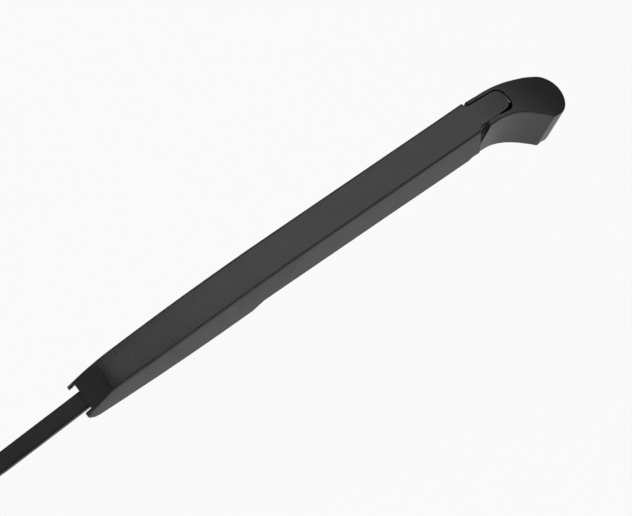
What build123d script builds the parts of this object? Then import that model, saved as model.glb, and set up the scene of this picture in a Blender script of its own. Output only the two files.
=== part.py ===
from build123d import *
import math
import os

# Rear wiper arm: a moulded arm on a die-cast pivot, with a flat steel rod that carries the blade.
# Millimetres and degrees. The origin is on the spindle axis, where the spindle's taper ends.
# +Z runs up the spindle, and +X runs towards the rod. The arm hangs below the XY plane at its stop.

# Arm placement
arm_droop = 18.0
root_x = 38.5
root_z = 8.9
arm_y = -10.5

# Moulded arm, measured from the root of its tongue
arm_length = 274.0
skin_end = 269.5
side_draft = 12.0
arm_wall = 2.2
arm_skin = 1.9
base_depth = 26.0
base_half_width = 15.5
base_straight_end = 150.0
nose_half_width = 11.9
nose_corner_radius = 3.0
top_straight_end = 120.0
bow_radius = 655.0
bow_angle = 7.0
nose_start = 250.0
nose_radius = 60.0
nose_angle = 22.0
shoulder_top_x = 3.3
shoulder_foot_x = 5.8
shoulder_depth = 20.2
step_x = 162.0
step_run = 8.0
depth_before_step = 17.7
depth_after_step = 18.9
nose_depth = 23.6
top_edge_radius = 1.8
exit_half_width = 8.2

# Tongue and the neck under it that carries the hinge pin
tongue_length = 18.0
tongue_root_width = 13.7
tongue_end_width = 12.6
tongue_end_radius = 4.6
tongue_thickness = 2.2
crown_radius = 114.0
neck_inner_half = 4.4
neck_outer_half = 6.8
neck_eye_radius = 5.4
neck_foot_x = 12.0

# Hinge
hinge_x = -6.0
hinge_z = -8.0
hinge_pin_radius = 2.5
hinge_running_gap = 0.05
bush_wall = 1.0
hinge_side_gap = 0.25

# Spring and its two cross pins
head_pin_from_hinge_x = 4.0
head_pin_from_hinge_z = -9.0
head_pin_radius = 1.5
arm_pin_x = 75.0
arm_pin_z = -11.0
arm_pin_radius = 1.75
bracket_inner_half = 3.2
bracket_outer_half = 5.6
bracket_radius = 4.2
spring_wire = 1.4
spring_mean_radius = 4.0
spring_turns = 28
spring_coil_share = 0.62
groove_floor = 0.1
hook_gap = 0.15

# Rod
rod_width = 9.0
rod_thickness = 4.0
rod_edge_radius = 1.2
rod_start_x = 185.0
rod_bend_x = 235.0
rod_seat_gap = 1.5
rod_free_length = 92.0
rod_fall = 11.0
rod_bend_radius = 40.0
hook_inner_radius = 4.2
hook_return = 15.0
screw_positions = (196.0, 222.0)
screw_radius = 1.8
screw_head_radius = 3.6
screw_head_height = 2.0
screw_reach = 2.4
pad_radius = 4.2

# Ribs inside the moulded arm
rib_thickness = 1.6
rib_depth = 7.0
rib_positions = (92.0, 116.0, 140.0, 164.0)

# Head cover
cover_height = 14.5
cover_end_radius = 13.8
cover_far_radius = 100.0
cover_half_width = 9.4
cover_hollow_radius = 30.0
cover_hollow_start = 29.5
cover_corner_radius = 3.0
cover_draft = 6.0
cover_wall = 1.6
cover_skin = 2.0
cover_front_gap = 1.5
cover_front_rim = -15.5
cover_rear_rim = -9.0
cover_edge_radius = 1.2
crown_x = 3.2
slot_side_gap = 0.9
slot_end_gap = 1.6
seat_ring_inner = 8.2
seat_ring_outer = 9.4

# Pivot casting
hub_radius = 9.5
hub_foot = -8.0
hub_top = 4.0
taper_top = 0.0
taper_foot_radius = 6.2
taper_top_radius = 5.4
stud_bore_radius = 4.2
web_top = -3.0
web_end_x = 22.0
web_end_radius = 5.5
knuckle_radius = 4.9
lug_heel_x = 25.0
lug_heel_z = -4.8
lug_heel_radius = 3.2
lug_nose_radius = 3.0
spring_slot_half = 1.8
spring_slot_back = 3.4
spring_slot_front = 6.0
spring_slot_depth = 8.0
knuckle_cover = 0.6

os.makedirs("parts", exist_ok=True)

droop_cos = math.cos(math.radians(arm_droop))
droop_sin = math.sin(math.radians(arm_droop))

# The arm's own frame: x along the arm, z out of its top face, origin at the tongue's root.
arm_plane = Plane(origin=(root_x, arm_y, root_z), x_dir=(droop_cos, 0, -droop_sin), z_dir=(droop_sin, 0, droop_cos))
arm_side = Plane(origin=arm_plane.origin, x_dir=arm_plane.x_dir, z_dir=-arm_plane.y_dir)
head_side = Plane(origin=(0, arm_y, 0), x_dir=(1, 0, 0), z_dir=(0, -1, 0))

hinge_point = arm_plane.from_local_coords(Vector(hinge_x, 0, hinge_z))
head_pin_point = hinge_point + Vector(head_pin_from_hinge_x, 0, head_pin_from_hinge_z)
arm_pin_point = arm_plane.from_local_coords(Vector(arm_pin_x, 0, arm_pin_z))


def arm_top_height(x, lower=0.0):
    """Height of the arm's top line at a place along the arm, before its nose."""
    if x <= top_straight_end:
        return -lower
    bow_end = top_straight_end + bow_radius * math.sin(math.radians(bow_angle))
    if x <= bow_end:
        return math.sqrt(bow_radius**2 - (x - top_straight_end) ** 2) - bow_radius - lower
    bow_drop = bow_radius * (1 - math.cos(math.radians(bow_angle)))
    return -bow_drop - (x - bow_end) * math.tan(math.radians(bow_angle)) - lower


def arm_half_width(z):
    """Half the outer width of the arm's straight stretch at a height."""
    return base_half_width - (z + base_depth) * math.tan(math.radians(side_draft))


def arm_section(x):
    """Plane across the arm at a place along it, with the arm's height as its second axis."""
    return Plane(origin=arm_plane.from_local_coords(Vector(x, 0, 0)), x_dir=arm_plane.y_dir, z_dir=arm_plane.x_dir)


def rod_top_height(x):
    """Height of the rod's top face inside the arm, where it lies along the bowed skin."""
    bend_height = arm_top_height(rod_bend_x, arm_skin + rod_seat_gap)
    return bend_height + (rod_bend_x - x) * math.tan(math.radians(bow_angle))


def rod_seat(x):
    """Plane on the rod's top face, square to the rod, at a place along the arm."""
    seat_point = arm_plane.from_local_coords(Vector(x, 0, rod_top_height(x)))
    lean = math.radians(arm_droop + bow_angle)
    return Plane(origin=seat_point, x_dir=(math.cos(lean), 0, -math.sin(lean)), z_dir=(math.sin(lean), 0, math.cos(lean)))


def arm_block(inset, skin):
    """The arm's outer form, or its hollow when the wall and skin are taken off."""
    half_width = base_half_width - inset
    nose_half = nose_half_width - inset
    block_start = -20.0
    block_top = 2.0
    nose_x = arm_length + (5.0 if inset else 0.0)
    fall = (math.cos(math.radians(bow_angle)), -math.sin(math.radians(bow_angle)))
    with BuildPart() as block:
        for height in (-base_depth, block_top):
            lean_in = (height + base_depth) * math.tan(math.radians(side_draft))
            with BuildSketch(arm_plane.offset(height)) as outline:
                with BuildLine():
                    Line((block_start, 0), (block_start, half_width - lean_in))
                    Line((block_start, half_width - lean_in), (base_straight_end, half_width - lean_in))
                    TangentArc((base_straight_end, half_width - lean_in), (nose_x, nose_half - lean_in), tangent=(1, 0))
                    Line((nose_x, nose_half - lean_in), (nose_x, 0))
                    Line((nose_x, 0), (block_start, 0))
                make_face()
                mirror(about=Plane.XZ)
        loft(ruled=True)
        with BuildSketch(arm_side):
            with BuildLine():
                Line((shoulder_top_x, -skin), (top_straight_end, -skin))
                bow = JernArc((top_straight_end, -skin), (1, 0), bow_radius - skin, -bow_angle)
                nose_top = (nose_start, arm_top_height(nose_start, skin))
                Line(bow @ 1, nose_top)
                nose = JernArc(nose_top, fall, nose_radius - skin, -nose_angle)
                Line(nose @ 1, (nose_x, (nose @ 1).Y))
                Line((nose_x, (nose @ 1).Y), (nose_x, -nose_depth))
                if inset:
                    Line((nose_x, -nose_depth), (nose_x, -base_depth))
                    Line((nose_x, -base_depth), (shoulder_foot_x - 12, -base_depth))
                    Line((shoulder_foot_x - 12, -base_depth), (shoulder_foot_x - 12, -skin))
                    Line((shoulder_foot_x - 12, -skin), (shoulder_top_x, -skin))
                else:
                    Line((nose_x, -nose_depth), (step_x + step_run / 2, -depth_after_step))
                    Line((step_x + step_run / 2, -depth_after_step), (step_x - step_run / 2, -depth_before_step))
                    Line((step_x - step_run / 2, -depth_before_step), (shoulder_foot_x, -shoulder_depth))
                    Line((shoulder_foot_x, -shoulder_depth), (shoulder_top_x, 0))
            make_face()
        extrude(amount=2 * base_half_width, both=True, mode=Mode.INTERSECT)
    return block.part


def tongue_outline(gap, end_gap):
    """Plan of the tongue, or of the slot round it when gaps are given."""
    root_half = tongue_root_width / 2 + gap
    end_half = tongue_end_width / 2 + gap
    end_x = -tongue_length - end_gap
    with BuildSketch(arm_plane.offset(-12)) as outline:
        with BuildLine():
            Polyline((14, root_half), (0, root_half), (end_x, end_half), (end_x, -end_half), (0, -root_half),
                     (14, -root_half), close=True)
        make_face()
        fillet(outline.vertices().group_by(Axis((0, 0, 0), arm_plane.x_dir))[0], tongue_end_radius + gap)
    return outline.sketch


arm_outer = arm_block(0, 0)
arm_hollow = arm_block(arm_wall, arm_skin)
tongue_plan = tongue_outline(0, 0)
slot_plan = tongue_outline(slot_side_gap, slot_end_gap)

# Tongue: a plate that carries on the arm's top with the crown of the head.
with BuildPart() as tongue:
    with BuildSketch(arm_side):
        with Locations((0, -crown_radius)):
            Circle(crown_radius)
            Circle(crown_radius - tongue_thickness, mode=Mode.SUBTRACT)
    extrude(amount=tongue_root_width, both=True)
    extrude(tongue_plan, amount=20, mode=Mode.INTERSECT)

with BuildPart() as arm_housing:
    add(arm_outer)
    top_faces = [face for face in arm_housing.faces() if face.normal_at().dot(arm_plane.z_dir) > 0.8]
    long_edges = [
        edge
        for face in top_faces
        for edge in face.edges()
        if abs((edge.tangent_at(0.5)).dot(arm_plane.x_dir)) > 0.8
    ]
    fillet(long_edges, top_edge_radius)
    add(arm_hollow, mode=Mode.SUBTRACT)
    # The rod leaves between two ears that stand past the end of the skin.
    with BuildSketch(arm_plane):
        with Locations((skin_end + 10, 0)):
            Rectangle(20, 2 * exit_half_width)
    extrude(amount=base_depth, both=True, mode=Mode.SUBTRACT)
    add(tongue.part)
    # Neck: two webs under the tongue with the eyes of the hinge.
    with BuildSketch(arm_side):
        with Locations((hinge_x, hinge_z)):
            Circle(neck_eye_radius)
        with BuildLine():
            Polyline((hinge_x - 3, -1.0), (neck_foot_x, -1.0), (neck_foot_x, -6), (hinge_x, hinge_z - neck_eye_radius),
                     (hinge_x - neck_eye_radius, hinge_z), (hinge_x - 3, -1.0))
        make_face()
    extrude(amount=neck_outer_half, both=True)
    with BuildSketch(arm_side):
        with BuildLine():
            Polyline((hinge_x - 12, -tongue_thickness - 1.2), (neck_foot_x, -tongue_thickness),
                     (neck_foot_x, -base_depth), (hinge_x - 12, -base_depth), close=True)
        make_face()
    extrude(amount=neck_inner_half, both=True, mode=Mode.SUBTRACT)
    with BuildSketch(arm_side):
        with Locations((hinge_x, hinge_z)):
            Circle(hinge_pin_radius)
    extrude(amount=2 * neck_outer_half, both=True, mode=Mode.SUBTRACT)
    # Brackets that hold the spring's cross pin.
    with BuildSketch(arm_side):
        with Locations((arm_pin_x, arm_pin_z)):
            Circle(bracket_radius)
        with Locations((arm_pin_x, arm_pin_z / 2)):
            Rectangle(2 * bracket_radius, -arm_pin_z - 1.0)
        with Locations((arm_pin_x, arm_pin_z)):
            Circle(arm_pin_radius, mode=Mode.SUBTRACT)
    extrude(amount=bracket_outer_half, both=True)
    with BuildSketch(arm_side):
        with Locations((arm_pin_x, -arm_skin - 10)):
            Rectangle(2.5 * bracket_radius, 20)
    extrude(amount=bracket_inner_half, both=True, mode=Mode.SUBTRACT)
    # Cross ribs under the skin, ending inside the side walls.
    for rib_x in rib_positions:
        rib_top = arm_top_height(rib_x, arm_skin / 2)
        rib_foot = rib_top - rib_depth
        top_half = arm_half_width(rib_top) - arm_wall / 2
        foot_half = arm_half_width(rib_foot) - arm_wall / 2
        with BuildSketch(arm_section(rib_x)):
            with BuildLine():
                Polyline((-top_half, rib_top), (top_half, rib_top), (foot_half, rib_foot), (-foot_half, rib_foot), close=True)
            make_face()
        extrude(amount=rib_thickness / 2, both=True)
    # Pads that the rod is screwed up against.
    for pad_x in screw_positions:
        with BuildSketch(rod_seat(pad_x)):
            Circle(pad_radius)
        extrude(amount=rod_seat_gap + arm_skin / 2)
        with BuildSketch(rod_seat(pad_x)):
            Circle(screw_radius)
        extrude(amount=screw_reach, mode=Mode.SUBTRACT)
arm_housing.part.label = "arm_housing"
export_step(arm_housing.part, "parts/arm_housing.step")

# Rod: flat bar, screwed under the skin, with the hook for the blade at its free end.
with BuildPart() as wiper_rod:
    with BuildSketch(arm_side):
        with BuildLine():
            half = rod_thickness / 2 / math.cos(math.radians(bow_angle))
            seat = Line((rod_start_x, rod_top_height(rod_start_x) - half), (rod_bend_x, rod_top_height(rod_bend_x) - half))
            bend = JernArc(seat @ 1, seat % 1, rod_bend_radius, bow_angle - rod_fall)
            free = PolarLine(bend @ 1, skin_end - rod_bend_x + rod_free_length, -rod_fall)
            hook = JernArc(free @ 1, free % 1, hook_inner_radius + rod_thickness / 2, -180)
            PolarLine(hook @ 1, hook_return, 180 - rod_fall)
        trace(line_width=rod_thickness)
    extrude(amount=rod_width / 2, both=True)
    side_faces = wiper_rod.faces().filter_by(Axis.Y)
    rod_edges = [edge for face in side_faces for edge in face.edges() if edge.length > rod_thickness + 0.5]
    fillet(rod_edges, rod_edge_radius)
    for screw_x in screw_positions:
        with BuildSketch(rod_seat(screw_x)):
            Circle(screw_radius)
        extrude(amount=-2 * rod_thickness, mode=Mode.SUBTRACT)
wiper_rod.part.label = "wiper_rod"
export_step(wiper_rod.part, "parts/wiper_rod.step")

# Screws that hold the rod up against its pads.
with BuildPart() as rod_screws:
    for screw_x in screw_positions:
        with BuildSketch(rod_seat(screw_x).offset(-rod_thickness)):
            Circle(screw_radius)
        extrude(amount=rod_thickness + screw_reach)
        with BuildSketch(rod_seat(screw_x).offset(-rod_thickness)):
            Circle(screw_head_radius)
        extrude(amount=-screw_head_height)
    crowns = rod_screws.faces().filter_by(GeomType.PLANE)
    fillet([edge for face in crowns for edge in face.edges().filter_by(GeomType.CIRCLE)
            if abs(edge.radius - screw_head_radius) < 0.01 and face.normal_at().Z < -0.5], screw_head_height / 2)
rod_screws.part.label = "rod_screws"
export_step(rod_screws.part, "parts/rod_screws.step")

# Hinge pin, held in the neck's eyes.
with BuildPart() as hinge_pin:
    with BuildSketch(arm_side):
        with Locations((hinge_x, hinge_z)):
            Circle(hinge_pin_radius)
    extrude(amount=neck_outer_half, both=True)
    chamfer(hinge_pin.edges().filter_by(GeomType.CIRCLE), 0.4)
hinge_pin.part.label = "hinge_pin"
export_step(hinge_pin.part, "parts/hinge_pin.step")

# Bush in the casting's knuckle, which the hinge pin turns in.
bush_inner = hinge_pin_radius + hinge_running_gap
bush_outer = bush_inner + bush_wall
lug_half = neck_inner_half - hinge_side_gap
with BuildPart() as hinge_bush:
    with BuildSketch(head_side):
        with Locations((hinge_point.X, hinge_point.Z)):
            Circle(bush_outer)
            Circle(bush_inner, mode=Mode.SUBTRACT)
    extrude(amount=lug_half, both=True)
hinge_bush.part.label = "hinge_bush"
export_step(hinge_bush.part, "parts/hinge_bush.step")

# Pivot casting: hub on the spindle, a web across the dog-leg and a lug up to the hinge.
with BuildPart() as pivot_casting:
    with BuildSketch(Plane.XY.offset(hub_foot)):
        Circle(hub_radius)
    extrude(amount=hub_top - hub_foot)
    with BuildSketch(Plane.XY.offset(hub_foot)):
        Circle(hub_radius)
        with Locations((web_end_x, arm_y)):
            Circle(web_end_radius)
        make_hull()
    extrude(amount=web_top - hub_foot)
    with BuildSketch(head_side):
        with Locations((hinge_point.X, hinge_point.Z)):
            Circle(knuckle_radius)
        with Locations((lug_heel_x, lug_heel_z)):
            Circle(lug_heel_radius)
        with Locations((head_pin_point.X, head_pin_point.Z)):
            Circle(lug_nose_radius)
        make_hull()
    extrude(amount=lug_half, both=True)
    # Tapered seat for the spindle and the clearance hole for its stud.
    with BuildSketch(Plane.XZ):
        with BuildLine():
            Polyline((0, hub_foot), (taper_foot_radius, hub_foot), (taper_top_radius, taper_top),
                     (stud_bore_radius, taper_top), (stud_bore_radius, hub_top), (0, hub_top), close=True)
        make_face()
    revolve(axis=Axis.Z, mode=Mode.SUBTRACT)
    with BuildSketch(head_side):
        with Locations((hinge_point.X, hinge_point.Z)):
            Circle(bush_outer)
        with Locations((head_pin_point.X, head_pin_point.Z)):
            Circle(head_pin_radius)
    extrude(amount=2 * lug_half, both=True, mode=Mode.SUBTRACT)
    # Slot in the nose for the spring's hook.
    slot_top = hinge_point.Z - bush_outer - knuckle_cover
    slot_foot = head_pin_point.Z - spring_slot_depth
    slot_middle = (head_pin_point.X + (spring_slot_front - spring_slot_back) / 2, (slot_top + slot_foot) / 2)
    with BuildSketch(head_side):
        with Locations(slot_middle):
            Rectangle(spring_slot_front + spring_slot_back, slot_top - slot_foot)
    extrude(amount=spring_slot_half, both=True, mode=Mode.SUBTRACT)
pivot_casting.part.label = "pivot_casting"
export_step(pivot_casting.part, "parts/pivot_casting.step")

with BuildPart() as head_spring_pin:
    with BuildSketch(head_side):
        with Locations((head_pin_point.X, head_pin_point.Z)):
            Circle(head_pin_radius)
    extrude(amount=lug_half, both=True)
head_spring_pin.part.label = "head_spring_pin"
export_step(head_spring_pin.part, "parts/head_spring_pin.step")

with BuildPart() as arm_spring_pin:
    with BuildSketch(arm_side):
        with Locations((arm_pin_x, arm_pin_z)):
            Circle(arm_pin_radius)
    extrude(amount=bracket_outer_half, both=True)
arm_spring_pin.part.label = "arm_spring_pin"
export_step(arm_spring_pin.part, "parts/arm_spring_pin.step")

# Tension spring: open coil with a hook round each cross pin.
spring_span = arm_pin_point - head_pin_point
spring_axis = spring_span.normalized()
coil_length = spring_span.length * spring_coil_share
coil_start = (spring_span.length - coil_length) / 2
coil_pitch = coil_length / spring_turns
coil_end = coil_start + coil_length
head_loop = head_pin_radius + hook_gap + spring_wire / 2
arm_loop = arm_pin_radius + hook_gap + spring_wire / 2
spring_place = Plane(origin=head_pin_point, x_dir=(-spring_axis.Z, 0, spring_axis.X), z_dir=spring_axis)
with BuildPart() as spring_form:
    # The turns touch, so the coil is a tube with a groove between each turn and the next.
    with BuildSketch(Plane.XZ):
        with BuildLine():
            crests = [(spring_mean_radius + spring_wire / 2, coil_start + (turn + 0.5) * coil_pitch) for turn in range(spring_turns)]
            valleys = [(spring_mean_radius + groove_floor, coil_start + turn * coil_pitch) for turn in range(1, spring_turns)]
            outer = [crests[0]] + [point for pair in zip(valleys, crests[1:]) for point in pair]
            Polyline((spring_mean_radius - spring_wire / 2, coil_start), (spring_mean_radius + groove_floor, coil_start), *outer,
                     (spring_mean_radius + groove_floor, coil_end), (spring_mean_radius - spring_wire / 2, coil_end), close=True)
        make_face()
    revolve(axis=Axis.Z)
    for pin_height, loop_radius, coil_height in (
        (0, head_loop, coil_start),
        (spring_span.length, arm_loop, coil_end),
    ):
        inwards = math.copysign(1, coil_height - pin_height)
        with BuildLine(Plane.XZ) as hook:
            CenterArc((0, pin_height), loop_radius, 180 + inwards * 10, inwards * 170)
            TangentArc((loop_radius, pin_height), (spring_mean_radius, coil_height), tangent=(0, inwards))
        with BuildSketch(Plane(origin=hook.line @ 0, z_dir=hook.line % 0)):
            Circle(spring_wire / 2)
        sweep()
with BuildPart() as tension_spring:
    add(spring_form.part.moved(spring_place.location))
tension_spring.part.label = "tension_spring"
export_step(tension_spring.part, "parts/tension_spring.step")


def cover_block(inset, skin):
    """The head cover's outer form, or its hollow when the wall and skin are taken off."""
    front_x = root_x - cover_front_gap + (10.0 if inset else 0.0)
    foot = -20.0
    with BuildPart() as block:
        for height in (foot, cover_height + 1.0):
            grow = (cover_height - height) * math.tan(math.radians(cover_draft)) - inset
            end_radius = cover_end_radius + grow
            far_radius = cover_far_radius + grow
            hollow_radius = cover_hollow_radius - grow
            far_y = arm_y - cover_half_width - grow
            near_y = arm_y + cover_half_width + grow
            far_center = Vector(math.sqrt((far_radius - end_radius) ** 2 - (far_radius + far_y) ** 2), far_radius + far_y)
            touch_angle = math.degrees(math.atan2(-far_center.Y, -far_center.X)) % 360
            hollow_center = Vector(cover_hollow_start, near_y + hollow_radius)
            reach = (end_radius**2 - hollow_radius**2 + hollow_center.length**2) / (2 * hollow_center.length)
            along = hollow_center.normalized()
            across = Vector(-along.Y, along.X)
            corner = along * reach + across * math.sqrt(end_radius**2 - reach**2)
            corner_angle = math.degrees(math.atan2(corner.Y, corner.X))
            from_hollow = corner - hollow_center
            hollow_angle = math.degrees(math.atan2(from_hollow.Y, from_hollow.X)) % 360
            with BuildSketch(Plane.XY.offset(height)) as outline:
                with BuildLine():
                    Line((front_x, near_y), (front_x, far_y))
                    Line((front_x, far_y), (far_center.X, far_y))
                    CenterArc(far_center, far_radius, 270, touch_angle - 270)
                    CenterArc((0, 0), end_radius, touch_angle, corner_angle - touch_angle)
                    CenterArc(hollow_center, hollow_radius, hollow_angle, 270 - hollow_angle)
                    Line((cover_hollow_start, near_y), (front_x, near_y))
                make_face()
                fillet(outline.vertices().sort_by_distance((corner.X, corner.Y, 0))[0], cover_corner_radius)
        loft(ruled=True)
        with BuildSketch(Plane.XZ):
            with BuildLine():
                Polyline((-25, foot if inset else cover_rear_rim), (front_x, foot if inset else cover_front_rim),
                         (front_x, 40), (-25, 40), close=True)
            make_face()
            with Locations((crown_x, cover_height - crown_radius)):
                Circle(crown_radius - skin, mode=Mode.INTERSECT)
        extrude(amount=60, both=True, mode=Mode.INTERSECT)
    return block.part


cover_outer = cover_block(0, 0)
cover_hollow = cover_block(cover_wall, cover_skin)

# Head cover: crowned shell over the casting, slotted for the tongue.
with BuildPart() as head_cover:
    add(cover_outer)
    crown_face = head_cover.faces().sort_by(Axis.Z)[-1]
    rim_edges = [edge for edge in crown_face.edges() if edge.center().X < root_x - cover_front_gap - 0.1]
    fillet(rim_edges, cover_edge_radius)
    add(cover_hollow, mode=Mode.SUBTRACT)
    with BuildSketch(Plane.XY.offset(hub_top)):
        Circle(seat_ring_outer)
        Circle(seat_ring_inner, mode=Mode.SUBTRACT)
    extrude(amount=cover_height - cover_skin - hub_top + 0.6)
    extrude(slot_plan, amount=30, mode=Mode.SUBTRACT)
head_cover.part.label = "head_cover"
export_step(head_cover.part, "parts/head_cover.step")
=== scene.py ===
# %% [markdown]
# Rear wiper arm. A long moulded channel hinges in a crowned head that sits on the wiper's spindle.
# A flat steel rod leaves the channel's tip and ends in the hook that carries the blade.
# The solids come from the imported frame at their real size. This lesson makes the spring anew, works the
# arm, the rod and the head further on copies, dresses every piece, and sets up the studio and camera.

# %% Load the frame
import math

import bpy
from mathutils import Matrix, Vector


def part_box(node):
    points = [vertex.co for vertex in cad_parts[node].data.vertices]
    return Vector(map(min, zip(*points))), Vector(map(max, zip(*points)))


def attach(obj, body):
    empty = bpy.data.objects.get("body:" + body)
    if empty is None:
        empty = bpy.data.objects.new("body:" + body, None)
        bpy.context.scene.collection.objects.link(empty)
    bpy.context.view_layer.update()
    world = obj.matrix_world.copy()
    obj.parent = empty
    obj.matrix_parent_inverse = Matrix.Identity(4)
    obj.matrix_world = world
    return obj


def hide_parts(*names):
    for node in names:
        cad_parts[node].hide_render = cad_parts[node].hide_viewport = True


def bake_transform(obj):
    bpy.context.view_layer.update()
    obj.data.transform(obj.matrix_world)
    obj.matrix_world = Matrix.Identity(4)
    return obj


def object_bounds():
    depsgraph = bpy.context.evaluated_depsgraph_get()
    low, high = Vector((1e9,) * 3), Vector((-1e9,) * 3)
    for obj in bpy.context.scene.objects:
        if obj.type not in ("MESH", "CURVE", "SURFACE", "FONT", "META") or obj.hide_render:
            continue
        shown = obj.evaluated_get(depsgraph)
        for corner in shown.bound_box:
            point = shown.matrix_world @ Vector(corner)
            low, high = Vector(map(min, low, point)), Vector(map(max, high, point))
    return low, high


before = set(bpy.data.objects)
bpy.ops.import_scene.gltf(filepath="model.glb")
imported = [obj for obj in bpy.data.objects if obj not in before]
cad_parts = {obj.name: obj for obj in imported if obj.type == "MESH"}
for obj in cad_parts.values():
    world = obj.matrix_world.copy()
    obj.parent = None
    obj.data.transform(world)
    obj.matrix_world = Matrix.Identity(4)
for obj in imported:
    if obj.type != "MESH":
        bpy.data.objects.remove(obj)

cad_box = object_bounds()
print("nodes:", sorted(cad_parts))

# %% [markdown]
# The spring is a close coil of wire with a hook at each end. The frame holds it as one grooved tube,
# because a coil of wire is slow to solve there. Here the coil is made as by hand: one ring of wire
# section, carried round and along by a Screw modifier. A curve with a round bevel would do as well,
# but the Screw keeps the turns exactly even.

# %% Helpers for modelling
MM = 0.001


def select_only(piece):
    """Leaves one piece selected and active."""
    bpy.ops.object.select_all(action="DESELECT")
    piece.select_set(True)
    bpy.context.view_layer.objects.active = piece


def middle_of(node):
    """Middle of a node's box."""
    low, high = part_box(node)
    return (low + high) / 2


# %% Coil of the tension spring
wire_radius = 0.7 * MM
coil_radius = 4.0 * MM
coil_turns = 28
coil_share = 0.62
wire_sides = 12
steps_in_turn = 32

head_pin = middle_of("head_spring_pin")
arm_pin = middle_of("arm_spring_pin")
pin_span = (arm_pin - head_pin).length
coil_length = coil_share * pin_span
coil_start = (pin_span - coil_length) / 2

bpy.ops.object.select_all(action="DESELECT")
bpy.ops.mesh.primitive_circle_add(
    vertices=wire_sides,
    radius=wire_radius,
    location=(coil_radius, 0, coil_start),
    rotation=(math.pi / 2, 0, 0),
)
coil = bpy.context.active_object
coil.name = "spring_wire"
bpy.ops.object.transform_apply(location=True, rotation=True, scale=True)
screw = coil.modifiers.new("turns", "SCREW")
screw.axis = "Z"
screw.screw_offset = coil_length / coil_turns
screw.iterations = coil_turns
screw.steps = steps_in_turn
screw.render_steps = steps_in_turn
screw.use_merge_vertices = False
bpy.ops.object.modifier_apply(modifier=screw.name)
print("coil faces:", len(coil.data.polygons))

# %% [markdown]
# Each end of the coil runs in to the middle and closes round a cross pin. A hook like that is a bent
# wire, so it is drawn as a smooth path with a round bevel and then made a mesh.

# %% Hooks of the tension spring
loop_steps = 9
loop_turn = 0.95 * math.pi
lead_radius = 0.95 * coil_radius
pin_clearance = 0.15 * MM


def spring_hook(pin_height, loop_radius, coil_height):
    """One end of the spring's wire, from the coil to a loop round its pin."""
    inwards = math.copysign(1, coil_height - pin_height)
    lead_height = (2 * coil_height + pin_height) / 3
    places = [Vector((coil_radius, 0, coil_height)), Vector((lead_radius, 0, lead_height))]
    for step in range(loop_steps):
        angle = loop_turn * step / (loop_steps - 1)
        rise = pin_height - inwards * loop_radius * math.sin(angle)
        places.append(Vector((loop_radius * math.cos(angle), 0, rise)))
    bpy.ops.curve.primitive_nurbs_path_add()
    hook = bpy.context.active_object
    spline = hook.data.splines[0]
    spline.points.add(len(places) - len(spline.points))
    for point, place in zip(spline.points, places):
        point.co = (*place, 1)
    spline.use_endpoint_u = True
    spline.order_u = 3
    hook.data.bevel_depth = wire_radius
    hook.data.bevel_resolution = 3
    hook.data.use_fill_caps = True
    bpy.ops.object.convert(target="MESH")
    return bpy.context.active_object


hooks = []
for node, height, coil_height in (
    ("head_spring_pin", 0, coil_start),
    ("arm_spring_pin", pin_span, coil_start + coil_length),
):
    low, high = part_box(node)
    hooks.append(spring_hook(height, (high.z - low.z) / 2 + pin_clearance + wire_radius, coil_height))
select_only(coil)
for hook in hooks:
    hook.select_set(True)
bpy.ops.object.join()
along = (arm_pin - head_pin).normalized()
across = Vector((0, 1, 0))
turn = Matrix((across.cross(along), across, along)).transposed().to_4x4()
coil.data.transform(Matrix.Translation(head_pin) @ turn)
bpy.ops.object.mode_set(mode="EDIT")
bpy.ops.mesh.select_all(action="SELECT")
bpy.ops.mesh.normals_make_consistent(inside=False)
bpy.ops.object.mode_set(mode="OBJECT")
bpy.ops.object.shade_smooth()
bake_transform(coil)
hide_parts("tension_spring")
print("spring from", [round(c, 4) for c in head_pin], "to", [round(c, 4) for c in arm_pin])

# %% [markdown]
# The two mouldings carry the part's look: the long arm and the crowned head. Their solids have the main
# form. The real arm also has a low ridge along its top, a pinched nose with short rounded ears and a
# shoulder that opens like a wedge on the near side, and the head is fuller towards the camera. Such
# soft changes of form are easiest on a copy of the mesh: it is sliced where it has to give, and its
# points are then moved by a rule, as a lattice would move them. The steel rod is worked the same way.

# %% Working copies
merge_distance = 0.001 * MM
smooth_angle = math.radians(35.0)


def working_copy(node, name):
    """A piece with its own copy of a node's mesh, its loose triangles merged."""
    bpy.ops.object.select_all(action="DESELECT")
    bpy.ops.mesh.primitive_plane_add()
    piece = bpy.context.active_object
    piece.name = name
    piece.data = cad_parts[node].data.copy()
    bpy.ops.mesh.customdata_custom_splitnormals_clear()
    bpy.ops.object.mode_set(mode="EDIT")
    bpy.ops.mesh.select_all(action="SELECT")
    bpy.ops.mesh.remove_doubles(threshold=merge_distance)
    bpy.ops.object.mode_set(mode="OBJECT")
    return piece


def slice_piece(piece, place, normal, trim=False):
    """Cuts new edges where a plane crosses a piece, and takes off what lies beyond it when trimming."""
    select_only(piece)
    bpy.ops.object.mode_set(mode="EDIT")
    bpy.ops.mesh.select_all(action="SELECT")
    bpy.ops.mesh.bisect(
        plane_co=place,
        plane_no=normal,
        clear_outer=trim,
        use_fill=trim,
        threshold=merge_distance,
    )
    bpy.ops.object.mode_set(mode="OBJECT")


def between(x, stops):
    """Value at x on straight lines through a few (x, value) stops."""
    for (x0, value0), (x1, value1) in zip(stops, stops[1:]):
        if x <= x1:
            share = max(0.0, (x - x0) / (x1 - x0))
            return value0 + share * (value1 - value0)
    return stops[-1][1]


def share_of(value, low, high):
    """How far a value is from low to high, from 0 to 1."""
    return min(1.0, max(0.0, (value - low) / (high - low)))


# %% [markdown]
# The arm droops from the head, so it gets axes of its own. Along them, everything is told in millimetres
# from the root of the tongue. A matrix goes from these axes to the part's frame, and its inverse back.

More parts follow.
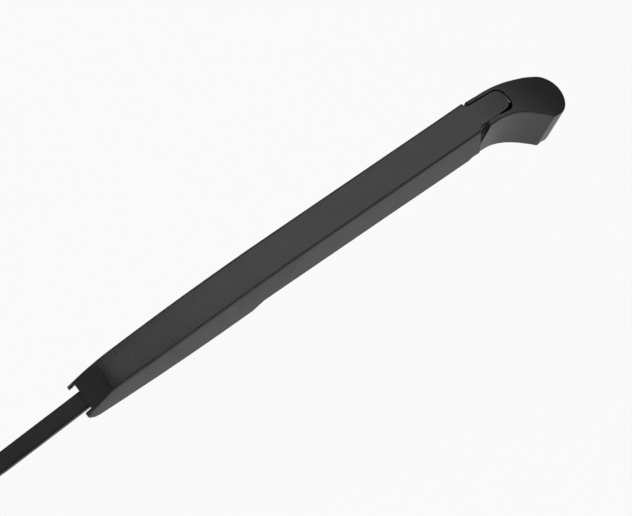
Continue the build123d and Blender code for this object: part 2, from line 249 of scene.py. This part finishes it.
# %% The arm's own axes
arm_droop = math.radians(18.0)
arm_root = Vector((38.5, -10.5, 8.9)) * MM
arm_along = Vector((math.cos(arm_droop), 0, -math.sin(arm_droop)))
arm_up = Vector((math.sin(arm_droop), 0, math.cos(arm_droop)))
arm_axes = Matrix.Translation(arm_root) @ Matrix((arm_along, (0, 1, 0), arm_up)).transposed().to_4x4()
arm_axes = arm_axes @ Matrix.Scale(MM, 4)
to_arm_axes = arm_axes.inverted()
print("arm axes at", [round(c, 4) for c in arm_root])

# %% [markdown]
# The arm's top line is straight, then bows down, and turns down more at the nose. The copy goes from the
# solid's line to one with a flatter bow and a rounder nose.

# %% The arm's top line
def top_line(x, bow_start, bow_radius, bow_angle, nose_start, nose_radius, nose_angle):
    """Height of the arm's top line at a place along it."""
    bow_end = bow_start + bow_radius * math.sin(bow_angle)
    if x <= bow_start:
        return 0.0
    if x <= bow_end:
        return math.sqrt(bow_radius**2 - (x - bow_start) ** 2) - bow_radius
    height = bow_radius * (math.cos(bow_angle) - 1) - (min(x, nose_start) - bow_end) * math.tan(bow_angle)
    if x > nose_start:
        turned = min(bow_angle + nose_angle, math.asin(math.sin(bow_angle) + (x - nose_start) / nose_radius))
        height -= nose_radius * (math.cos(bow_angle) - math.cos(turned))
    return height


solid_line = {
    "bow_start": 120.0,
    "bow_radius": 655.0,
    "bow_angle": math.radians(7.0),
    "nose_start": 250.0,
    "nose_radius": 60.0,
    "nose_angle": math.radians(22.0),
}
worked_line = {
    "bow_start": 120.0,
    "bow_radius": 900.0,
    "bow_angle": math.radians(5.5),
    "nose_start": 244.0,
    "nose_radius": 42.0,
    "nose_angle": math.radians(38.0),
}


def solid_top(x):
    """The solid's top line."""
    return top_line(x, **solid_line)


def worked_top(x):
    """The copy's top line."""
    return top_line(x, **worked_line)


nose_place = 265.0
print("top at the nose:", round(solid_top(nose_place), 2), "becomes", round(worked_top(nose_place), 2))

# %% [markdown]
# A mesh only bends where it has points. The long flat faces of the arm have none between their ends, so
# planes across the arm cut edges into them: a few along the straight part, and many round the nose.

# %% Slice the arm where it has to give
arm_shell = working_copy("arm_housing", "arm_shell")
slice_places = (
    14, 17, 25, 40, 65, 95, 125, 150, 175, 190, 205, 220,
    235, 245, 249, 252, 255, 258, 261, 264, 267,
)
for place in slice_places:
    slice_piece(arm_shell, arm_axes @ Vector((place, 0, 0)), arm_along)
slice_piece(arm_shell, arm_root, (0, 1, 0))
print("arm points:", len(arm_shell.data.vertices))

# %% [markdown]
# One rule moves every point of the arm. The shoulders lean like a wedge, the tongue shifts a little to
# the near side, heights are stretched from the old top line to the new one, and then the ridge, the
# stepped foot and the pinch of the nose are added.

# %% Work the arm
nose_hold = 235.0
nose_shorter = 0.905
base_height = -24.0
neck_half = 6.9
shoulder_reach = 7.0
shoulder_foot = (8.9, -20.2)
shoulder_far_top = 4.5
shoulder_near_top = 6.8
foot_height = -19.0
foot_drop = (
    (14, -3.2), (17, -1.45), (40, -1.3), (65, -1.4), (150, -0.9),
    (158, -0.6), (166, 1.4), (205, 1.4), (262, 0.9),
)
ridge_rise = 0.45
ridge_half = 9.0
ridge_run = (20.0, 120.0)
nose_pinch = 0.045
pinch_run = (150.0, 265.0)
tongue_shift = 0.6
tongue_underside = -2.5
tongue_margin = 0.1
tongue_run = (3.0, 0.5)


def worked_arm_point(x, y, z):
    """Where a point of the arm goes, in the arm's own axes."""
    if x < shoulder_reach and abs(y) > neck_half:
        top_x = shoulder_near_top if y > 0 else shoulder_far_top
        x = top_x + (shoulder_foot[0] - top_x) * share_of(z, 0, shoulder_foot[1])
    if z > tongue_underside and abs(y) < neck_half + tongue_margin:
        y += tongue_shift * share_of(x, *tongue_run)
    old_top = solid_top(x)
    if x > nose_hold:
        x = nose_hold + (x - nose_hold) * nose_shorter
    new_top = worked_top(x)
    z = base_height + (z - base_height) * (new_top - base_height) / (old_top - base_height)
    upper = share_of(z, foot_height, new_top)
    z += ridge_rise * (1 - min(1.0, abs(y) / ridge_half)) * share_of(x, *ridge_run) * upper
    z -= between(x, foot_drop) * (1 - upper)
    y *= 1 - nose_pinch * share_of(x, *pinch_run) * upper
    return Vector((x, y, z))


for vertex in arm_shell.data.vertices:
    vertex.co = arm_axes @ worked_arm_point(*(to_arm_axes @ vertex.co))
nose_end = max((to_arm_axes @ vertex.co).x for vertex in arm_shell.data.vertices)
print("arm's nose at", round(nose_end, 2), "mm")

# %% [markdown]
# The nose ends in two ears, one on each side of the rod. Their corners are rounded by a few flat cuts
# round a centre, which the smooth shading then joins into a curve.

# %% Round the ears
def round_corner(centre_z, radius, angles):
    """Trims the nose by planes that touch a circle near its end."""
    for angle in angles:
        outwards = Vector((math.cos(math.radians(angle)), 0, math.sin(math.radians(angle))))
        centre = Vector((nose_end - radius, 0, centre_z))
        facing = (arm_axes.to_3x3() @ outwards).normalized()
        slice_piece(arm_shell, arm_axes @ (centre + outwards * radius), facing, trim=True)


ear_depth = 1.0
top_radius = 2.0
foot_radius = 4.0
corner_cuts = (15.0, 38.0, 60.0)
arm_points = [to_arm_axes @ vertex.co for vertex in arm_shell.data.vertices]
ear_top = worked_top(nose_end)
ear_foot = min(point.z for point in arm_points if point.x > nose_end - ear_depth)
round_corner(ear_top - top_radius, top_radius, corner_cuts)
round_corner(ear_foot + foot_radius, foot_radius, [-angle for angle in corner_cuts])
print("ear from", round(ear_foot, 2), "to", round(ear_top, 2))

# %% [markdown]
# Under the tongue, cheeks run back from the shoulders beside the hinge. They belong to the same moulding,
# keep dirt out of the hinge and close the view through the slit. On each side a long slab stands beside
# the hinge and a short flange stands against the shoulder. All four are rounded and joined to the arm.

# %% Cheeks beside the hinge
cheek_rounding = 0.25 * MM
cheek_segments = 3
cheek_slabs = (
    (Vector((-2.0, 6.5, -19.0)), Vector((11.5, 8.0, -1.5))),
    (Vector((-2.0, -7.2, -19.0)), Vector((11.5, -6.4, -1.5))),
    (Vector((5.5, 7.5, -17.0)), Vector((11.5, 9.0, -1.5))),
    (Vector((6.4, -9.0, -17.0)), Vector((11.5, -6.8, -1.5))),
)
cheeks = []
for cheek_low, cheek_high in cheek_slabs:
    bpy.ops.object.select_all(action="DESELECT")
    bpy.ops.mesh.primitive_cube_add(size=1)
    cheek = bpy.context.active_object
    middle = (cheek_low + cheek_high) / 2
    extent = Matrix.Diagonal((cheek_high - cheek_low).to_4d())
    cheek.data.transform(arm_axes @ Matrix.Translation(middle) @ extent)
    bpy.ops.object.mode_set(mode="EDIT")
    bpy.ops.mesh.select_all(action="SELECT")
    bpy.ops.mesh.bevel(offset=cheek_rounding, segments=cheek_segments)
    bpy.ops.object.mode_set(mode="OBJECT")
    cheeks.append(cheek)
select_only(arm_shell)
for cheek in cheeks:
    cheek.select_set(True)
bpy.ops.object.join()
bpy.ops.object.shade_smooth_by_angle(angle=smooth_angle)
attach(arm_shell, "arm")
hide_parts("arm_housing")
print("arm faces:", len(arm_shell.data.polygons))

# %% [markdown]
# The rod is a flat steel bar. Where it leaves the nose it is a little broader than at its hook, and it
# hangs lower between the ears. A sliced copy gets both by a rule, and the hook keeps its place and size.

# %% Work the rod
rod_bar = working_copy("wiper_rod", "rod_bar")
rod_slices = (226, 236, 246, 256, 266, 276, 290, 305, 320, 332, 344)
for place in rod_slices:
    slice_piece(rod_bar, arm_axes @ Vector((place, 0, 0)), arm_along)
rod_hang = ((226, 0.0), (246, 2.8), (256, 3.4), (276, 3.2), (320, 1.8), (332, 1.0), (344, 0.0))
rod_broader = ((226, 0.0), (246, 0.17), (320, 0.17), (344, 0.0))


def worked_rod_point(x, y, z):
    """Where a point of the rod goes, in the arm's own axes."""
    return Vector((x, y * (1 + between(x, rod_broader)), z - between(x, rod_hang)))


for vertex in rod_bar.data.vertices:
    vertex.co = arm_axes @ worked_rod_point(*(to_arm_axes @ vertex.co))
select_only(rod_bar)
bpy.ops.object.shade_smooth_by_angle(angle=smooth_angle)
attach(rod_bar, "arm")
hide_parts("wiper_rod")
print("rod faces:", len(rod_bar.data.polygons))

# %% [markdown]
# The head's walls stand almost upright, and its near side swings out to the spindle in one hollow curve.
# The copy's outline is widened towards the camera, its draft is taken out, and its front comes
# closer to the arm's shoulder.

# %% Work the head
head_shell = working_copy("head_cover", "head_shell")
crown_height = 14.5
draft_taken_out = math.tan(math.radians(5.0))
far_line = -20.0
end_reach = 14.0
solid_near_line = (
    (-14.0, 0.0), (-10.0, 9.5), (0.0, 13.8), (4.0, 13.0),
    (10.7, 5.5), (17.8, 1.3), (29.5, -1.1),
)
near_fuller = (
    (-14.0, 0.0), (-5.0, 1.2), (2.2, 1.3), (5.4, 2.6), (8.0, 3.3),
    (10.7, 3.5), (17.8, 2.7), (32.0, 0.8), (39.0, 1.3),
)
far_fuller = 0.3
front_longer = 1.8
front_run = (33.0, 37.0)
far_front_longer = 2.4
far_front_run = (-15.0, 9.0)
rim_run = (5.0, -15.0)
rim_lower = ((-6.0, 0.0), (3.0, -1.6), (10.0, 0.2), (15.0, 1.0), (38.0, 1.9))


def worked_head_point(x, y, z):
    """Where a point of the head goes, in millimetres in the part's frame."""
    below = crown_height - z
    near_share = share_of(y, far_line, between(x, solid_near_line))
    fuller = near_share * between(x, near_fuller) + (1 - near_share) * far_fuller
    y += fuller + (1 - 2 * near_share) * below * draft_taken_out
    if x < 0:
        x *= 1 - below * draft_taken_out / end_reach
    far_longer = far_front_longer * (1 - near_share) * share_of(z, *far_front_run)
    x += (front_longer + far_longer) * share_of(x, *front_run)
    z -= between(x, rim_lower) * share_of(z, *rim_run)
    return Vector((x, y, z))


for vertex in head_shell.data.vertices:
    vertex.co = worked_head_point(*(vertex.co / MM)) * MM
select_only(head_shell)
bpy.ops.object.shade_smooth_by_angle(angle=smooth_angle)
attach(head_shell, "head")
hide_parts("head_cover")
print("head faces:", len(head_shell.data.polygons))

# %% [markdown]
# Finishes are node trees. A small class wraps a socket, so that shader sums read as sums, and one method
# adds any other kind of node. Patterns read Object coordinates, which are metres on this part.

# %% Shader sums
class Strand:
    """A socket of a node tree. Arithmetic on it adds Math nodes."""

    def __init__(self, tree, plug=None):
        self.tree = tree
        self.plug = plug

    def node(self, kind, sockets=None, output=0, **settings):
        """Adds a node with its settings, then fills its sockets, and gives back one of its outputs."""
        made = self.tree.nodes.new(kind)
        stops = settings.pop("stops", None)
        for name, value in settings.items():
            setattr(made, name, value)
        if stops:
            ramp = made.color_ramp
            while len(ramp.elements) < len(stops):
                ramp.elements.new(1.0)
            for element, (place, level) in zip(ramp.elements, stops):
                element.position = place
                element.color = (level, level, level, 1)
        for name, value in (sockets or {}).items():
            if isinstance(value, Strand):
                self.tree.links.new(value.plug, made.inputs[name])
            else:
                made.inputs[name].default_value = value
        return Strand(self.tree, made.outputs[output])

    def math(self, operation, first, second):
        """Adds one Math node."""
        return self.node("ShaderNodeMath", {0: first, 1: second}, operation=operation)

    def __add__(self, other):
        return self.math("ADD", self, other)

    __radd__ = __add__

    def __sub__(self, other):
        return self.math("SUBTRACT", self, other)

    def __rsub__(self, other):
        return self.math("SUBTRACT", other, self)

    def __mul__(self, other):
        return self.math("MULTIPLY", self, other)

    __rmul__ = __mul__

    def mix(self, low, high):
        """Blends two colours by this value."""
        return self.node("ShaderNodeMix", {0: self, 6: low, 7: high}, output=2, data_type="RGBA")


def grey(level, tint=0.0):
    """A linear grey, a little bluer for a positive tint."""
    return (level, level, level * (1 + tint), 1)


def finish_named(name):
    """A new material with an empty tree: its tree's start strand and its shader node."""
    material = bpy.data.materials.new(name)
    material.use_nodes = True
    tree = material.node_tree
    tree.nodes.clear()
    output = tree.nodes.new("ShaderNodeOutputMaterial")
    shader = tree.nodes.new("ShaderNodeBsdfPrincipled")
    tree.links.new(shader.outputs[0], output.inputs["Surface"])
    return material, Strand(tree), shader


def feed(shader, strand, name):
    """Links a strand to one of the shader's sockets."""
    strand.tree.links.new(strand.plug, shader.inputs[name])


# %% [markdown]
# The arm is black plastic out of a grained tool. Seen close, the skin is a fine even pebble with a
# broad cloudiness where the plastic filled the tool, and a few pale scuffs. Grain that shows at
# arm's length is bump, and the cloudiness goes into colour and roughness.

# %% Moulded plastic
plastic_specular = 0.75
plastic_tint = 0.06
dark_share = 0.6
pale_share = 1.9
cloud_per_metre = 45.0
scuff_per_metre = 420.0
scuff_stops = ((0.66, 0.0), (0.78, 1.0))
cloud_share = 0.5
speck_share = 0.3
scuff_share = 0.25


def moulded_plastic(name, level, grain_per_metre, grain_depth, gloss):
    """Black moulded plastic with a pebble grain of the given fineness."""
    material, start, shader = finish_named(name)
    shader.inputs["Specular IOR Level"].default_value = plastic_specular
    place = start.node("ShaderNodeTexCoord", output="Object")
    cloud = start.node("ShaderNodeTexNoise", {"Vector": place, "Scale": cloud_per_metre, "Detail": 3.0})
    pebble = start.node("ShaderNodeTexVoronoi", {"Vector": place, "Scale": grain_per_metre})
    speck = start.node("ShaderNodeTexNoise", {"Vector": place, "Scale": grain_per_metre * 0.6, "Detail": 4.0})
    patches = {"Vector": place, "Scale": scuff_per_metre, "Detail": 6.0, "Roughness": 0.7}
    patch = start.node("ShaderNodeTexNoise", patches)
    scuff = start.node("ShaderNodeValToRGB", {"Fac": patch}, stops=scuff_stops)
    tone = cloud * cloud_share + speck * speck_share + scuff * scuff_share
    dark = grey(level * dark_share, plastic_tint)
    pale = grey(level * pale_share, plastic_tint)
    feed(shader, tone.mix(dark, pale), "Base Color")
    feed(shader, gloss + 0.12 * (cloud - 0.5) + 0.1 * speck, "Roughness")
    height = pebble * 0.7 + speck * 0.5
    relief = start.node("ShaderNodeBump", {"Height": height, "Strength": 0.6, "Distance": grain_depth})
    feed(shader, relief, "Normal")
    return material


arm_plastic = moulded_plastic(
    "arm_plastic", level=0.02, grain_per_metre=900.0, grain_depth=0.12 * MM, gloss=0.38
)
cover_plastic = moulded_plastic(
    "cover_plastic", level=0.02, grain_per_metre=1500.0, grain_depth=0.06 * MM, gloss=0.36
)
print("plastics:", arm_plastic.name, cover_plastic.name)

# %% [markdown]
# The rod is steel under satin black paint. Paint levels out, so it has a soft orange peel instead of a
# grain, and it is a little glossier than the plastic.

# %% Painted steel
def painted_steel(name):
    """Satin black paint with a soft orange peel."""
    material, start, shader = finish_named(name)
    place = start.node("ShaderNodeTexCoord", output="Object")
    peel = start.node("ShaderNodeTexNoise", {"Vector": place, "Scale": 700.0, "Detail": 2.0})
    cloud = start.node("ShaderNodeTexNoise", {"Vector": place, "Scale": 60.0, "Detail": 3.0})
    feed(shader, cloud.mix(grey(0.012), grey(0.026)), "Base Color")
    feed(shader, 0.3 + 0.2 * cloud, "Roughness")
    relief = start.node("ShaderNodeBump", {"Height": peel, "Strength": 0.35, "Distance": 0.04 * MM})
    feed(shader, relief, "Normal")
    return material


rod_paint = painted_steel("rod_paint")
print("paint:", rod_paint.name)

# %% [markdown]
# Inside sit bare metals: a die-cast head, plated pins and screws, and oiled spring wire. They share one
# recipe, metal with a fine mottle, and differ in tone, roughness and how coarse the mottle is.

# %% Bare metals
def bare_metal(name, level, roughness, mottle_per_metre, relief_depth, tint=0.0):
    """Metal with a mottled surface."""
    material, start, shader = finish_named(name)
    shader.inputs["Metallic"].default_value = 1.0
    place = start.node("ShaderNodeTexCoord", output="Object")
    mottle = start.node("ShaderNodeTexNoise", {"Vector": place, "Scale": mottle_per_metre, "Detail": 5.0})
    feed(shader, mottle.mix(grey(level * 0.75, tint), grey(level * 1.2, tint)), "Base Color")
    feed(shader, roughness + 0.25 * (mottle - 0.5), "Roughness")
    relief = start.node("ShaderNodeBump", {"Height": mottle, "Strength": 0.4, "Distance": relief_depth})
    feed(shader, relief, "Normal")
    return material


die_cast = bare_metal(
    "die_cast", level=0.45, roughness=0.5, mottle_per_metre=500.0, relief_depth=0.08 * MM
)
plated_steel = bare_metal(
    "plated_steel", level=0.6, roughness=0.28, mottle_per_metre=900.0, relief_depth=0.01 * MM, tint=0.03
)
spring_steel = bare_metal(
    "spring_steel", level=0.3, roughness=0.32, mottle_per_metre=1500.0, relief_depth=0.01 * MM
)
print("metals:", die_cast.name, plated_steel.name, spring_steel.name)

# %% [markdown]
# The bush in the hinge is bearing plastic in its natural colour. It is smooth and milky, so a faint
# cloudiness in colour and gloss is all it needs.

# %% Bearing plastic
def bush_plastic(name):
    """Natural bearing plastic, milky and smooth."""
    material, start, shader = finish_named(name)
    place = start.node("ShaderNodeTexCoord", output="Object")
    cloud = start.node("ShaderNodeTexNoise", {"Vector": place, "Scale": 400.0, "Detail": 2.0})
    feed(shader, cloud.mix((0.62, 0.6, 0.54, 1), (0.74, 0.72, 0.66, 1)), "Base Color")
    feed(shader, 0.3 + 0.15 * cloud, "Roughness")
    return material


acetal = bush_plastic("bush_plastic")
print("bush:", acetal.name)

# %% [markdown]
# Each solid takes its finish in its own mesh. The pieces that were worked here stand for their solids
# and take theirs in the same way.

# %% Dress the solids
finishes = {
    "rod_screws": plated_steel,
    "pivot_casting": die_cast,
    "hinge_pin": plated_steel,
    "hinge_bush": acetal,
    "head_spring_pin": plated_steel,
    "arm_spring_pin": plated_steel,
}
for node, material in finishes.items():
    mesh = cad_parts[node].data
    mesh.materials.clear()
    mesh.materials.append(material)
worked_pieces = (
    (arm_shell, arm_plastic),
    (head_shell, cover_plastic),
    (rod_bar, rod_paint),
    (coil, spring_steel),
)
for piece, material in worked_pieces:
    piece.data.materials.clear()
    piece.data.materials.append(material)
print("dressed:", len(finishes) + len(worked_pieces), "pieces")

# %% [markdown]
# The studio is a pale floor under the hook and a dim room. The floor is white to the camera and in
# reflections, through the Light Path node, so the sides of the arm shine against it. The room is
# brightest overhead and dark at the horizon, which draws the dark line along the arm's rounded edges.

# %% Floor
floor_size = 6.0
floor_drop = 0.5 * MM
floor_level = 0.8
floor_white = 0.93
bpy.ops.object.select_all(action="DESELECT")
bpy.ops.mesh.primitive_plane_add(size=floor_size, location=(0, 0, cad_box[0].z - floor_drop))
floor = bpy.context.active_object
floor.name = "floor"
floor_paint = bpy.data.materials.new("floor_paint")
floor_paint.use_nodes = True
floor_tree = floor_paint.node_tree
floor_tree.nodes.clear()
start = Strand(floor_tree)
path = floor_tree.nodes.new("ShaderNodeLightPath")


def ray_kind(name):
    """One of the Light Path node's outputs."""
    return Strand(floor_tree, path.outputs[name])


seen = ray_kind("Is Camera Ray") + ray_kind("Is Glossy Ray") + ray_kind("Is Transmission Ray")
matte = start.node("ShaderNodeBsdfDiffuse", {"Color": grey(floor_level)})
white = start.node("ShaderNodeEmission", {"Color": grey(1.0), "Strength": 1.0})
floor_mix = start.node("ShaderNodeMixShader", {0: seen * floor_white, 1: matte, 2: white})
floor_output = floor_tree.nodes.new("ShaderNodeOutputMaterial")
floor_tree.links.new(floor_mix.plug, floor_output.inputs["Surface"])
floor.data.materials.append(floor_paint)
print("floor at", round(floor.location.z, 4))

# %% [markdown]
# The room is a ramp over height, so it lights and mirrors more from above. The camera sees it white,
# which carries the pale floor on above the horizon in low views.

# %% Room
glow_stops = ((0.0, 0.04), (0.4, 0.06), (0.8, 0.15), (1.0, 0.18))
world = bpy.data.worlds.new("studio")
bpy.context.scene.world = world
world.use_nodes = True
room = world.node_tree
room.nodes.clear()
start = Strand(room)
direction = start.node("ShaderNodeTexCoord", output="Generated")
height = start.node("ShaderNodeSeparateXYZ", {"Vector": direction}, output="Z")
glow = start.node("ShaderNodeValToRGB", {"Fac": height}, stops=glow_stops)
dim = start.node("ShaderNodeBackground", {"Color": glow, "Strength": 1.0})
bright = start.node("ShaderNodeBackground", {"Color": grey(1.0), "Strength": 1.0})
camera_ray = start.node("ShaderNodeLightPath", output="Is Camera Ray")
room_mix = start.node("ShaderNodeMixShader", {0: camera_ray, 1: dim, 2: bright})
room_output = room.nodes.new("ShaderNodeOutputWorld")
room.links.new(room_mix.plug, room_output.inputs["Surface"])
print("room:", world.name)

# %% [markdown]
# Two large soft lamps shape the arm: one overhead for its top, and a weaker one for its near side.

# %% Lamps
arm_middle = (cad_box[0] + cad_box[1]) / 2


def soft_lamp(name, place, size, watts):
    """A square soft light aimed at the middle of the arm."""
    bpy.ops.object.light_add(type="AREA", location=place)
    lamp = bpy.context.active_object
    lamp.name = name
    lamp.data.shape = "SQUARE"
    lamp.data.size = size
    lamp.data.energy = watts
    lamp.rotation_euler = (Vector(place) - arm_middle).to_track_quat("Z", "Y").to_euler()


soft_lamp("overhead_lamp", place=(0.35, -0.5, 1.5), size=1.6, watts=8.8)
soft_lamp("side_lamp", place=(0.2, 1.6, 0.4), size=1.0, watts=4.0)

# %% [markdown]
# The camera looks from the photograph's angle. Its aim lies on the arm's middle plane, and it is rolled
# so that the arm runs down to the left across the picture.

# %% Camera
image_width = 632
focal_pixels = 1506.8
sensor_width = 36.0
camera_azimuth = math.radians(120.28)
camera_elevation = math.radians(54.75)
camera_roll = math.radians(25.9)
camera_distance = 0.8595
camera_aim = Vector((0.1301, -0.0105, -0.0743))

bpy.ops.object.camera_add()
camera = bpy.context.active_object
camera.data.sensor_width = sensor_width
camera.data.lens = focal_pixels * sensor_width / image_width
backwards = Vector((
    math.sin(camera_azimuth) * math.cos(camera_elevation),
    -math.cos(camera_azimuth) * math.cos(camera_elevation),
    math.sin(camera_elevation),
))
level_view = (-backwards).to_track_quat("-Z", "Y").to_matrix().to_4x4()
camera.matrix_world = (
    Matrix.Translation(camera_aim + camera_distance * backwards)
    @ level_view
    @ Matrix.Rotation(camera_roll, 4, "Z")
)
bpy.context.scene.camera = camera
bpy.context.scene.view_settings.view_transform = "Standard"
print("camera at", [round(c, 4) for c in camera.matrix_world.translation])
